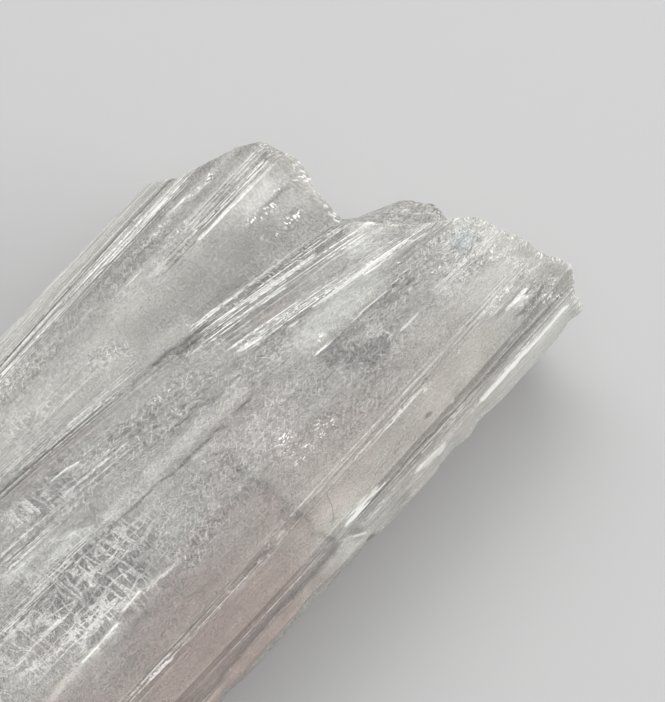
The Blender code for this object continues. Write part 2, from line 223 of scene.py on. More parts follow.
GLINT_STROKES = (
    (0.8, 19.5, 0.2, 26.5, -1.7, 0.5), (0.9, 26, -1.9, 38, -5, 0.5), (1.3, 28.9, 6.8, 31.8, 6.3, 0.34),
    (1.2, 32.3, 6.9, 33.6, 6.85, 0.2), (1.3, 28.6, 5, 32.6, 4.2, 0.36), (0.6, 22, -13.2, 27, -13.6, 0.2),
    (1, 38.4, -15.9, 40.6, -16.9, 0.25), (0.5, 18, 4.4, 34, 0.5, 0.7), (0.9, -6, -12, -3, -12.1, 0.16),
    (0.5, 8, 5.9, 12.6, 4.6, 0.35), (0.8, 10.7, 2.6, 14, 1.9, 0.3), (0.5, 3, -12.3, 10, -12.6, 0.3),
    (0.9, 34, -8, 36.6, -8.2, 0.2), (0.5, -8, -7.3, 3, -7.8, 0.2),
)
LINE_STROKES = (
    (0.9, -41, 12, 5, 14, 1), (0.7, -40, 7.8, -3, 7.6, 0.8), (0.7, -42, 4.4, -6, 3.4, 0.7),
    (0.5, -41, -8.4, -8, -11.8, 0.6), (1, 18.5, 3.4, 34, -0.2, 1.3), (1, 19, 0.4, 39, -5.2, 0.7),
    (0.6, -2, 7.4, 14, 5, 1), (0.35, -1, 8.6, 11, 8.4, 0.8), (0.8, 25, 9.75, 35.2, 9.75, 0.8),
    (1, 12, 11, 20, 10.9, 0.08), (1, 5, 14.2, 30, 14.2, 0.7), (0.7, 5, 16.3, 28.5, 16.4, 1),
    (0.5, -8, -12, 40, -13.2, 0.5), (0.35, -8, -15.2, 12, -15.6, 0.5), (0.4, 12, -15.5, 18, -15.8, 0.35),
    (0.6, 14, -16.4, 42, -17.2, 0.5), (0.55, -6, 2.6, 8, 1.6, 1.1), (0.9, 6, 15.3, 29, 15.3, 0.4),
    (0.5, 33, -9, 41, -9.4, 0.8), (0.8, -12, -1, 0, -1.4, 0.6),
)
# Crisp thin crests, raised in the relief, each with a painted glint along it.
RIDGE_STROKES = (
    (0.9, -38, -5.2, -12, -7.2, 0.14), (0.8, -30, 5.4, -10, 4.6, 0.14), (0.8, -40, 10.4, -14, 11, 0.12),
    (0.7, -36, 0.6, -15, 0.2, 0.12), (1, 25.6, 10.78, 34.8, 10.72, 0.12),
    (0.6, 26, 10.45, 34.4, 10.4, 0.08), (0.6, 26, 10.2, 34.6, 10.2, 0.08),
    (0.9, 25, 9.85, 34.8, 9.68, 0.11), (1, 25.8, 9.42, 34.8, 9.3, 0.12),
    (1.2, 24.8, 8.98, 34.6, 8.75, 0.16), (1, 19.8, 4.4, 21.8, 3.9, 0.12), (1, 22, 3.8, 27.2, 2.5, 0.12),
    (0.8, 21.2, 3.5, 25.2, 2.65, 0.1), (0.9, 19.4, 3.4, 23, 2.45, 0.12), (1, 23, 2.3, 30.2, 0.55, 0.12),
    (1.2, 20, 2.35, 26.4, 0.62, 0.14), (0.9, 24.5, 1.95, 31, 0.7, 0.1), (0.6, 27.2, 2.4, 33.5, 1, 0.1),
    (1, 16.7, 2.9, 18.3, 2.5, 0.12), (0.7, 14.8, 4.35, 18, 4.25, 0.1), (1.1, 19, 0, 21.8, -0.8, 0.14),
    (1.2, 23.2, -1.85, 24.7, -2.1, 0.14), (1.1, 25.8, -2.15, 34.2, -4.2, 0.14),
    (1, 29, -2.75, 36, -4.5, 0.12), (0.8, 30.5, -3.6, 37.4, -5.3, 0.1), (0.7, 28.5, -0.2, 31.8, -1, 0.1),
    (1, 22.4, -5.15, 26, -5.6, 0.13), (0.8, 26, -5.6, 34, -6.2, 0.08), (1, 33.1, -5.9, 33.6, -4.8, 0.16),
    (1, 34, -9.2, 37, -9.3, 0.12), (0.7, 27, -5.9, 28.2, -9.2, 0.22), (0.8, 28.2, -9.1, 31.2, -9.2, 0.14),
    (0.6, 12, -12.5, 33, -12.75, 0.12), (0.8, 19, -13.2, 27, -13.5, 0.12),
    (1, -6, -11.75, -2.8, -11.9, 0.09), (1.1, -6, -12.05, -3, -12.25, 0.12), (0.6, 1, -12, 2.6, -12.6, 0.1),
    (0.52, 3, -12.4, 11, -12.8, 0.1), (0.8, 1, -14.9, 1.6, -15.2, 0.12), (0.5, 13.3, -3.7, 9.4, -3.6, 0.12),
    (0.6, -12, -3.5, 2.6, -4.05, 0.14), (0.8, -8.4, -7.25, -3.4, -7.4, 0.14),
    (0.8, -3.6, -6.95, -0.4, -7.1, 0.14), (0.65, -1, -7.3, 3, -7.9, 0.12), (0.8, -9, -1, -5, -1.1, 0.12),
    (0.7, -6, -1.75, -2, -1.95, 0.1), (0.7, -1.5, 2.35, 6, 2.5, 0.1), (0.5, -5, 1.15, 4, 0.95, 0.09),
    (0.9, 2.6, 3.75, 4.8, 3.6, 0.12), (0.9, -0.5, 7.75, 2.2, 7.6, 0.12), (0.45, 1, 8.9, 10, 8.7, 0.1),
    (0.55, 3, 7.6, 12, 5, 0.1), (0.6, 1, 1.75, 5, 1.7, 0.08), (0.5, -1.2, 7.1, 3.2, 6.2, 0.11),
    (0.5, 0, 7.75, 6.5, 6.9, 0.12), (0.9, 1.2, 4.35, 4.4, 3.7, 0.14), (0.9, 3, 3.35, 4.8, 3.2, 0.12),
    (0.7, 6, 15.35, 29, 15.5, 0.09), (0.7, 6, 17.2, 28, 17.3, 0.1), (1, 4, 14.5, 27, 14.6, 0.09),
    (1.1, 6, 14, 29, 14, 0.09), (0.9, 6, 13.8, 22, 13.8, 0.07), (1, 25.2, 12.8, 28, 12.6, 0.14),
    (0.7, 22.4, 12.3, 24.2, 12.6, 0.14), (0.7, 23, 11.3, 26.5, 11.05, 0.16),
    (0.7, 28.6, 11.2, 30, 11.15, 0.12), (0.9, 28.8, -17, 41, -17.6, 0.14),
    (0.8, 20.6, -16.8, 25, -17.15, 0.12), (0.7, 34, -13.9, 41.6, -14, 0.1),
    (1.1, 35.6, -14.4, 38.8, -14.5, 0.16), (1, 37, -14.5, 38.3, -15.1, 0.22),
    (0.45, 0, -15.7, 11, -16.15, 0.1), (1.1, 26.5, -15.8, 27.3, -15.85, 0.14),
    (0.6, 20, -15.95, 36, -16.35, 0.08),
)
WEB_PATCHES = (
    (0.6, -20, -3.5, 8, 3.5), (0.5, -30, 3, 6, 2.5), (1, -3.8, -4, 10.4, 4.7, -4),
    (0.9, 0.5, 3.6, 5, 2, -8), (0.5, 5, 9, 4, 1.6, -8), (0.4, 26, -7.9, 3.4, 2.2),
    (0.5, 31.6, -6.8, 3, 1, -4), (0.5, -5, 0.4, 5, 1), (0.5, 23, 10.5, 4.5, 2), (0.4, 12, 12.2, 9, 1),
)
CRACK_PATCHES = (
    (0.9, 14, -13.9, 2.6, 1.8), (0.4, -1, -13.8, 5, 1.6), (0.7, 31.5, -15, 2.4, 0.6),
    (0.4, 4, -10.6, 5, 1.2),
)
BRIGHT_PATCHES = (
    (0.25, 40, -10, 1.6, 6.5), (0.3, 33.6, -0.8, 2, 1.4), (0.22, 14.4, -14.2, 2.4, 1.3),
    (0.24, 31, -10.6, 5, 1.8), (0.16, 30, -14.6, 9, 1.6), (0.08, 33, 5.6, 2.4, 2.6),
    (0.52, 31, 7.9, 3.6, 1.5), (0.12, 26, -3.6, 7, 1.4, -4), (0.25, 27.8, -7.5, 0.6, 1.8, 20),
    (0.2, 36, -12, 4, 2), (0.4, 27.6, 12.8, 1.4, 0.5), (0.5, 37.4, -14.75, 1.4, 0.35, -14),
    (0.12, 5, -8.6, 5, 0.8),
)
# Paler strokes. Those along the crests near x -12 to 3, at y -4 and -7, are painted highlight.
BRIGHT_STROKES = (
    (0.25, 13, -15.5, 17, -15.7, 0.2), (0.35, 20, -17.3, 41, -17.8, 0.4), (0.3, 6, 16.9, 28, 17, 0.5),
    (0.25, 24, 14.2, 29, 14.2, 0.4), (0.15, 13.6, -16.4, 18, -17, 0.4), (0.3, 35.2, 6.8, 34.9, 5.9, 0.3),
    (0.5, -12, -7.2, -3.5, -7.4, 0.24), (0.5, -3.5, -6.95, -0.4, -7.15, 0.24),
    (0.42, -1, -7.3, 3.2, -7.85, 0.2), (0.35, -12, -3.5, 2.6, -4.05, 0.2), (0.15, 19.5, 0.1, 34, -3.6, 0.5),
)
PINK_PATCHES = (
    (1.1, 0, -14, 13.5, 8), (1, -24, -13, 32, 8.5), (0.85, 15, -11.5, 13, 4.4), (0.55, 6, -8.6, 8, 2.2),
    (0.42, 24, -13, 15, 6.5), (0.42, 15, -6, 9, 5), (0.6, 15.5, -9.5, 6, 3), (0.5, 24, 0.2, 3.4, 1, -14),
    (0.4, 3, 5.6, 7, 1.6, -8), (0.35, -6, -4, 7, 3.5), (0.3, 25, -7, 3, 2),
)
# A painted blue glint near the tip: its middle (x, y) and half sizes.
FLASH = (38.3, -8.0, 1.4, 1.1)
# Painted highlights round the step in the right ledge, along its edges, also raised a little in the
# relief. They lie on steep faces, so each place is first carried up to the top faces' height along a
# leaning line: so far along X and Y for each mm.
TOP_HEIGHT, STEEP_LEAN = 15.8, (0.295, 0.223)
NOTCH_HIGHLIGHTS = (
    (1.2, 11.5, -16.2, 12.6, -16.95, 0.08), (1.2, 12.5, -16.9, 13.9, -18, 0.09),
    (1.3, 12.8, -15.98, 17.4, -15.9, 0.11), (0.9, 13.2, -15.72, 16.4, -15.7, 0.06),
    (1.1, 13, -16.14, 18.2, -16.16, 0.05),
)
TIP_FROST = 1.3  # how far back from its broken edge the termination is pale
# Where the face beside the pane breaks off, across the crystal.
BREAK_X, BREAK_LOW, BREAK_HIGH = 11.8, -16.0, -4.2


# --- the crystal's edges and ends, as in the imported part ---

def clamped(value):
    return min(max(value, 0.0), 1.0)


def along(points, at):
    """The value at a position on a broken line of (position, value), in either order."""
    ordered = sorted(points)
    if at <= ordered[0][0]:
        return ordered[0][1]
    for (a, low), (b, high) in zip(ordered, ordered[1:]):
        if at <= b:
            return low + (high - low) * (at - a) / (b - a)
    return ordered[-1][1]


def edge_at(face, x):
    """An edge's (y, z) at a place along the prism, on one smooth curve through its sections."""
    found = Vector((0.0, 0.0))
    for at, point in zip(STATIONS, EDGES[face % len(EDGES)][1:4]):
        others = [other for other in STATIONS if other != at]
        found += Vector(point) * math.prod((x - other) / (at - other) for other in others)
    return found


def lengthwise_lines():
    """Each edge, then its face's groove bottoms and crests: (face, share across it, depth)."""
    lines = []
    for face, (*_, grooves, depth, _) in enumerate(EDGES):
        draw = random.Random(SEED + face)
        lines.append((face, 0.0, 0.0))
        for groove in range(grooves):
            bottom = (groove + draw.uniform(0.3, 0.7)) / grooves
            lines.append((face, bottom, depth * draw.uniform(0.5, 1.0)))
            if groove < grooves - 1:
                crest = (groove + 1 + draw.uniform(-0.15, 0.15)) / grooves
                lines.append((face, crest, depth * draw.uniform(0.0, 0.2)))
    return lines


def step_setback(y, x):
    """How far the right ledge lies back at a place on the root's side of its step."""
    behind = along(STEP_LINE, y) - x
    return STEP_DEPTH * clamped(behind / STEP_RISE) * max(1.0 - behind / STEP_FADE, 0.0)


def line_at(line, x):
    """A lengthwise line's (y, z) at a place along the prism."""
    face, share, depth = line
    name, *_, grooves_from = EDGES[face]
    start, end = edge_at(face, x), edge_at(face + 1, x)
    swell = 0.7 + 0.9 * noise.noise(Vector((x / 16.0, face * 3.1, share * 5.0)))
    depth *= clamped((x - grooves_from) / GROOVE_FADE) * clamped(swell)
    if name in STEPPED_EDGES and share < 0.5:
        depth += step_setback(start.x, x)
    across = end - start
    inward = Vector((across.y, -across.x)).normalized()
    return start + across * share - inward * depth


def creased(y, z, count, bend, seed):
    """A height made of flats that meet in straight creases."""
    draw = random.Random(seed)
    height = 0.0
    for crease in range(count):
        angle = draw.uniform(0.0, math.pi)
        offset = draw.uniform(-9.0, 9.0) * abs(math.cos(angle)) + draw.uniform(-3.0, 3.0)
        sign = 1 if crease % 2 else -1
        away = y * math.cos(angle) + (z - SECTION_MIDDLE.y) * math.sin(angle) - offset
        height += sign * bend * draw.uniform(0.5, 1.0) * abs(away)
    return height


def tip_end(y, z):
    """How far the termination reaches along X."""
    upper, lower = along(UPPER_END, y), along(LOWER_END, y)
    rise = clamped((z - LOWER_TOP) / (UPPER_FOOT - LOWER_TOP))
    tuck = TUCK * max(TUCK_BELOW - z, 0.0)
    rough = clamped((LOWER_TOP - z) / CREASE_TOP)
    return lower + (upper - lower) * rise - tuck + rough * creased(y, z, *TIP_CREASES)


def root_end(y, z):
    """Where the root break lies along X."""
    return ROOT_SETBACK - HALF + ROOT_LEAN * z + creased(y, z, *ROOT_CREASES)


def dented(y, z, end, depths, seed):
    """Where an end lies along X, with small and large dents that move it this far."""
    small = 0.5 + 0.5 * noise.noise(Vector((y * 1.1, z * 1.1, seed)))
    large = abs(noise.noise(Vector((y * 0.5, z * 0.5, seed + 6.0))))
    return end(y, z) + depths[0] * small + depths[1] * large


# --- noise and marks, for whole arrays of points ---

def waves(a, b, seed, straight=False):
    """Noise: random values from -1 to 1 at whole (a, b), joined by curves, or straight along a."""
    table = np.random.default_rng(seed).uniform(-1.0, 1.0, (256, 256))
    ia, ib = np.floor(a).astype(int), np.floor(b).astype(int)
    fa, fb = a - ia, b - ib
    if not straight:
        fa = fa * fa * (3 - 2 * fa)
    fb = fb * fb * (3 - 2 * fb)

    def pick(i, j):
        return table[i % 256, j % 256]

    low = pick(ia, ib) * (1 - fa) + pick(ia + 1, ib) * fa
    high = pick(ia, ib + 1) * (1 - fa) + pick(ia + 1, ib + 1) * fa
    return low * (1 - fb) + high * fb


def raised(a, b, seed, straight=True):
    """The same waves, from 0 to 1."""
    return 0.5 + 0.5 * waves(a, b, seed, straight)


def pushed(value, x, y, *all_waves):
    """The value, moved by waves: (strength, size along x, size along y, seed) of each."""
    for strength, size_x, size_y, seed in all_waves:
        value = value + strength * waves(x / size_x, y / size_y, seed)
    return value


def soft_step(low, high, value):
    """0 up to low and 1 from high on, smooth between them. Low may be the larger."""
    t = np.clip((value - low) / (high - low), 0.0, 1.0)
    return t * t * (3 - 2 * t)


def patch(x, y, middle_x, middle_y, half_x, half_y, turn=0.0):
    """1 in the middle of a soft oval patch, 0 outside it."""
    c, s = math.cos(math.radians(turn)), math.sin(math.radians(turn))
    dx, dy = x - middle_x, y - middle_y
    u, v = (dx * c + dy * s) / half_x, (-dx * s + dy * c) / half_y
    return soft_step(1.15, 0.35, np.sqrt(u * u + v * v))


def stroke(x, y, start_x, start_y, end_x, end_y, half_width):
    """1 along a straight mark, 0 beside it and past its ends."""
    along_x, along_y = end_x - start_x, end_y - start_y
    length = math.hypot(along_x, along_y)
    u = ((x - start_x) * along_x + (y - start_y) * along_y) / length
    v = ((y - start_y) * along_x - (x - start_x) * along_y) / length
    ends = soft_step(-0.5, 0.8, u) * soft_step(length + 0.5, length - 0.8, u)
    return ends * soft_step(1.6 * half_width, 0.4 * half_width, np.abs(v))


def marked(x, y, patches=(), strokes=()):
    """All the marks of a kind, the strongest at each place."""
    found = np.zeros_like(x)
    for shape, marks in ((patch, patches), (stroke, strokes)):
        for strength, *place in marks:
            found = np.maximum(found, strength * shape(x, y, *place))
    return found


# --- the fine surface ---

class Surface:
    """The prism's fine lengthwise lines, each with its own row of places along X."""

    def __init__(self):
        lines = lengthwise_lines()
        fine = []
        for k, (line, after) in enumerate(zip(lines, lines[1:] + lines[:1])):
            here, there = line_at(line, MIDDLE), line_at(after, MIDDLE)
            spacing = TOP_SPACING if here.y > TOP_FROM else SIDE_SPACING
            parts = max(1, round((there - here).length / spacing))
            fine += [(k, part / parts) for part in range(parts)]
        before = np.array([k for k, _ in fine])
        self.sides = before, (before + 1) % len(lines)
        self.share = np.array([share for _, share in fine])[:, None]
        self.face = [EDGES[lines[k][0]][0] for k, _ in fine]
        self.count = len(fine)
        self.xs = np.linspace(-HALF - TABLE_PAST, HALF + TABLE_PAST, TABLE_PLACES)
        self.table = np.array([[line_at(line, x) for x in self.xs] for line in lines])
        self.place()

    def at(self, x):
        """(y, z) of every fine line at its own row of x."""
        found = []
        for axis in (0, 1):
            before, after = (np.array([np.interp(row, self.xs, self.table[k, :, axis])
                                       for row, k in zip(x, side)]) for side in self.sides)
            found.append(before * (1 - self.share) + after * self.share)
        return found

    def section(self, x):
        """(y, z) of every fine line at one x."""
        return [v[:, 0] for v in self.at(np.full((self.count, 1), x))]

    def ends(self, girth):
        """Where each fine line starts and ends along X, on the chipped root and termination."""
        small, large = (raised(girth / size, girth * 0, seed) for size, seed in CHIP_NOISES)
        end = np.array([tip_end(y, z) for y, z in zip(*self.section(TIP))])
        start = np.array([root_end(y, z) for y, z in zip(*self.section(ROOT))])
        end = end - TIP_CHIPS[0] * small ** 2 - TIP_CHIPS[1] * large ** 2
        start = start + ROOT_CHIPS[0] * small + ROOT_CHIPS[1] * large
        return start[:, None], end[:, None]

    def place(self):
        """Lays the rings, dresses them, and moves them in by the relief and the bevels."""
        self.step = np.hypot(*(np.roll(v, -1) - v for v in self.section(MIDDLE)))
        girth = np.concatenate(([0.0], np.cumsum(self.step)[:-1]))
        start, end = self.ends(girth)
        far, seen = np.linspace(0, 1, RINGS_FAR + 1)[:-1], np.linspace(0, 1, RINGS_SEEN + 1)
        x = np.concatenate((start + (SEAM - start) * far, SEAM + (end - SEAM) * seen), axis=1)
        y, z = self.at(x)
        self.x, self.girth = x, girth[:, None] + 0 * x
        self.dress(x, y, z)
        across_y, across_z = (np.roll(v, -4, 0) - np.roll(v, 4, 0) for v in (y, z))
        length = np.hypot(across_y, across_z) + 1e-9
        depth = np.where(z < 0.05, 0.0, self.relief(x, y, z, self.girth))
        y, z = y - across_z / length * depth, z + across_y / length * depth
        bevel = np.array([along(END_BEVEL, y) for y in self.section(TIP)[0]])[:, None]
        fall = np.maximum(bevel - (end - x), 0.0) * END_BEVEL_DROP
        fall += np.maximum(ROOT_BEVEL - (x - start), 0.0)
        to_y, to_z = SECTION_MIDDLE.x - y, SECTION_MIDDLE.y - z
        reach = np.hypot(to_y, to_z)
        self.y = y + to_y / reach * fall
        self.z = z + np.where(z < 0.1, 0.0, to_z / reach * fall)
        self.edge_light_and_frost(end - x)

    def edge_light_and_frost(self, back):
        """Adds painted glints on sharp crests, painted shade in sharp grooves, a painted highlight along
        the termination's broken edge, and the termination's pale edge with painted glints on it. Each place
        lies so far back from that edge.
        """
        # painted glints on sharp crests and painted shade in sharp grooves, stronger where the striae are
        crest = self.crests() * self.top * (0.3 + 0.5 * self.striae)
        crest = np.where(self.ridges > 0.25, np.maximum(crest, self.ridges), crest)
        # the painted highlight along the termination's broken edge joins the crests' glints
        self.marks[..., 2] = crest + self.rim_highlight(back)
        wander = 0.3 * waves(self.girth / 0.9, self.x, 63)
        frosted = self.top * soft_step(TIP_FROST, 0.1, back + wander)
        self.veils[..., 2] += 0.22 * frosted
        self.marks[..., 0] = np.maximum(self.marks[..., 0], 0.7 * frosted)

    def crests(self):
        """1 on a sharp lengthwise crest, -1 in a sharp groove."""
        chord_y, chord_z = (np.roll(v, 2, 0) - np.roll(v, -2, 0) for v in (self.y, self.z))
        from_y, from_z = (v - 0.5 * (np.roll(v, 2, 0) + np.roll(v, -2, 0)) for v in (self.y, self.z))
        out = (from_z * chord_y - from_y * chord_z) / (np.hypot(chord_y, chord_z) + 1e-9)
        return np.clip(out / EDGE_SHARP, -1.0, 1.0)

    def rim_highlight(self, back):
        """A painted highlight, up to 0.8, along the broken edge of the termination."""
        deep = 0.25 + 1.0 * np.abs(waves(self.girth / 0.6, self.x / 2.0, 61))
        strength = 0.45 + 0.35 * waves(self.girth / 1.7, self.x * 0, 62)
        return strength * soft_step(deep, 0.1 * deep, back)

    def looks(self):
        """Each fine line's look, passing softly from face to face."""
        looks = np.array([LOOKS.get(name, LOOK_BELOW) for name in self.face])
        kernel = np.hanning(LOOK_BLEND + 2)[1:-1]
        kernel /= kernel.sum()
        padded = np.pad(looks, ((LOOK_BLEND // 2,) * 2, (0, 0)), mode="wrap")
        return [np.convolve(look, kernel, "valid")[:, None] for look in padded.T]

    def dress(self, x, y, z):
        """How the surface looks at each place: see LOOKS and the marks."""
        striae, crackled, milky = self.looks()
        top = soft_step(8.5, 10.0, z)
        # patches wander a little from their straight shapes, and thin strokes much less
        wander_x = pushed(x, x, y, (0.9, 1.7, 0.9, 51), (0.4, 0.7, 0.5, 52))
        wander_y = pushed(y, x, y, (0.4, 1.9, 1.1, 53), (0.2, 0.6, 0.5, 54))
        near_y = pushed(y, x, y, (0.05, 0.8, math.inf, 55), (0.08, 3.1, 2.0, 56))

        def placed(patches=(), strokes=()):
            return np.maximum(marked(wander_x, wander_y, patches), marked(x, near_y, (), strokes))

        past, break_shade = self.broken_face(x, y)
        lowered = TOP_HEIGHT - z
        notch_highlight = marked(x - STEEP_LEAN[0] * lowered, y - STEEP_LEAN[1] * lowered, (), NOTCH_HIGHLIGHTS)
        milk = milky + top * marked(wander_x, wander_y, MILK_PATCHES, MILK_STROKES)
        crackle = crackled + top * placed(CRACKLE_PATCHES)
        lines = 0.25 * striae + top * marked(x, y, (), LINE_STROKES)
        # dark marks, and painted shade along the break's edge
        dark = np.maximum(top * placed(DARK_PATCHES, DARK_STROKES), top * 0.5 * break_shade)
        spark = top * placed(GLINT_PATCHES, GLINT_STROKES)
        pink = top * marked(x, y, PINK_PATCHES) * (1.0 - 0.32 * past)
        green = top * np.maximum(marked(x, y, MILK_PATCHES[:1], MILK_STROKES[:2]), 0.4)
        bright = np.maximum(placed(BRIGHT_PATCHES, BRIGHT_STROKES), 0.4 * notch_highlight)
        bright = bright + 0.10 * past * soft_step(24.0, 14.0, x)
        self.ridges = top * np.maximum(placed((), RIDGE_STROKES), notch_highlight)
        self.striae, self.top = striae + 0 * x, top
        self.zones = np.stack([np.clip(v, 0, 1) for v in (milk, crackle, lines)], axis=-1)
        self.tints_and_glint = np.stack((pink, green, top * patch(x, y, *FLASH)), axis=-1)
        self.marks = np.stack((np.clip(spark, 0, 1), np.clip(dark, 0, 1.5), 0 * x), axis=-1)
        cracked = marked(x, y, CRACK_PATCHES)
        self.veils = top[..., None] * np.stack((placed(WEB_PATCHES), cracked, bright), axis=-1)

    def broken_face(self, x, y):
        """1 past the break across the face beside the pane, and 1 along the break's own edge."""
        broken = BREAK_X + 0.55 * waves(y / 1.3, y * 0, 57, straight=True)
        broken += 0.2 * waves(y / 0.4, y * 0, 58, straight=True)
        band = soft_step(BREAK_LOW - 0.3, BREAK_LOW + 0.3, y)
        band *= soft_step(BREAK_HIGH + 1.0, BREAK_HIGH - 1.0, y)
        past = soft_step(-0.15, 0.2, x - broken) * band
        return past, soft_step(0.35, 0.0, np.abs(x - broken + 0.15)) * band

    def relief(self, x, y, z, girth):
        """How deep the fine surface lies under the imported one, in mm: striae, pits and rim chips."""
        slow = raised(x / 11.0, girth / 3.0, 34, straight=False)
        fine = raised(girth / 0.27, x / 9.0, 33)
        middling = raised(girth / 0.5, x / 19.0, 31)
        broad = raised(girth / 1.1, x / 34.0, 32)
        lines = sum(depth * size for depth, size in zip(STRIA_DEPTHS, (fine, middling, broad)))
        lines = lines * (0.3 + 1.1 * slow) * self.striae
        pits = soft_step(0.3, 0.9, waves(x / 0.8, girth / 0.35, 41))
        rim = soft_step(12.6, 11.6, z) * soft_step(-14.0, -15.5, y)
        chips = soft_step(-0.1, 0.8, waves(x / 1.7, z / 2.5, 42, straight=True))
        pitted = lines + PIT_DEPTH * self.zones[..., 1] * pits
        return pitted - RIDGE_RISE * self.ridges + RELIEF_BASE + RIM_CHIP_DEPTH * rim * chips


def close_end(outline, end, seed):
    """A net over an end: the added points, and triangles over them and the outline's."""
    rng = np.random.default_rng(seed)
    rows, columns = int(CAP_HIGH / (CAP_SPACING * CAP_ROW)), int(CAP_WIDE / CAP_SPACING)
    net = np.array([(column + 0.5 * (row % 2), row * CAP_ROW) for row in range(1, rows + 1)
                    for column in range(-columns, columns + 1)])
    net = (net + rng.uniform(-CAP_STRAY, CAP_STRAY, net.shape)) * CAP_SPACING
    # kept inside a slightly smaller outline: a line to one side crosses it an odd number of times
    middle = np.array(SECTION_MIDDLE)
    corners = middle + (np.array(outline) - middle) * CAP_INSIDE
    (y, z), (next_y, next_z), (net_y, net_z) = corners.T, np.roll(corners, -1, 0).T, net.T[..., None]
    crosses = (z > net_z) != (next_z > net_z)
    rise = np.where(next_z == z, 1.0, next_z - z)
    cut = y + (next_y - y) * (net_z - z) / rise
    net = [Vector(p) for p in net[(crosses & (net_y < cut)).sum(1) % 2 == 1]]
    border = list(range(len(outline)))
    faces, origins = geometry.delaunay_2d_cdt(outline + net, [], [border], 1, 1e-7)[2:4]
    triangles = [[origins[corner][0] for corner in face] for face in faces]
    return [(dented(*p, *end), *p) for p in net], triangles


# Each end: its shape, dents and their seed, its net's seed, then its zones, tints and glint, marks (the
# first of them painted glint flecks) and veils.
CAP_ZONES, NONE = (0.85, 0.6, 0.0), (0.0, 0.0, 0.0)
ROOT_CAP = ((root_end, ROOT_DENTS, 13.0), 3, (CAP_ZONES, NONE, (0.7, 0.0, 0.0), (0.0, 0.0, 0.35)))
TIP_CAP = ((tip_end, TIP_DENTS, 3.0), 4, (CAP_ZONES, NONE, (0.35, 0.12, 0.0), NONE))


def side_mesh(surface):
    """The sides' triangles, and each corner's grain: its x, its place round the girth, and 0."""
    count, rings = surface.x.shape
    here = np.arange(count)
    beside = (here + 1) % count
    ring = (np.arange(rings - 1) * count)[:, None]
    corners = (ring + here, ring + beside, ring + count + beside, ring + count + here)
    # the girth runs on past the seam, so that the grain has no jump there
    x, girth = surface.x.T, surface.girth.T
    on = girth[:-1] + surface.step
    places = ((x[:-1], girth[:-1]), (x[:-1][:, beside], on), (x[1:][:, beside], on), (x[1:], girth[1:]))
    grains = [np.stack((a, b, np.zeros_like(a)), -1) for a, b in places]
    halves = ((0, 1, 2), (0, 2, 3))
    faces = [np.stack([corners[n] for n in half], -1).reshape(-1, 3) for half in halves]
    grain = [np.stack([grains[n] for n in half], 2).reshape(-1, 3) for half in halves]
    return faces, grain


def crystal_mesh():
    """The closed fine mesh. The last value of the grain is 1 on the ends."""
    surface = Surface()
    count, rings = surface.x.shape
    points = np.stack([v.T for v in (surface.x, surface.y, surface.z)], axis=-1).reshape(-1, 3)
    looks = [np.swapaxes(values, 0, 1).reshape(-1, 3)
             for values in (surface.zones, surface.tints_and_glint, surface.marks, surface.veils)]
    faces, grain = side_mesh(surface)
    for at, (end, seed, values) in ((0, ROOT_CAP), (rings - 1, TIP_CAP)):
        order = at * count + np.arange(count)
        outline = [Vector((surface.y[n, at], surface.z[n, at])) for n in range(count)]
        if at == 0:
            outline, order = outline[::-1], order[::-1]
        added, triangles = close_end(outline, end, seed)
        index = np.concatenate((order, len(points) + np.arange(len(added))))
        points = np.concatenate((points, np.array(added)))
        looks = [np.concatenate((v, np.tile(end_v, (len(added), 1)))) for v, end_v in zip(looks, values)]
        cap = index[np.array(triangles)]
        if at == 0:
            cap = cap[:, ::-1]
        faces.append(cap)
        grain.append(np.column_stack((points[cap.reshape(-1)][:, 1:] + CAP_GRAIN, np.ones(cap.size))))
    data = bpy.data.meshes.new("danburite_surface")
    data.from_pydata(((points + SHIFT) * MM).tolist(), [], np.concatenate(faces).tolist())
    store(data, "grain", "CORNER", np.concatenate(grain))
    for name, values in zip(("zones", "tints_and_glint", "marks", "veils"), looks):
        store(data, name, "POINT", values)
    data.shade_smooth()
    data.set_sharp_from_angle(angle=math.radians(SHARP_ANGLE))
    return data


def store(data, name, domain, values):
    layer = data.attributes.new(name, "FLOAT_VECTOR", domain)
    layer.data.foreach_set("vector", values.astype(np.float32).reshape(-1))


# --- materials ---

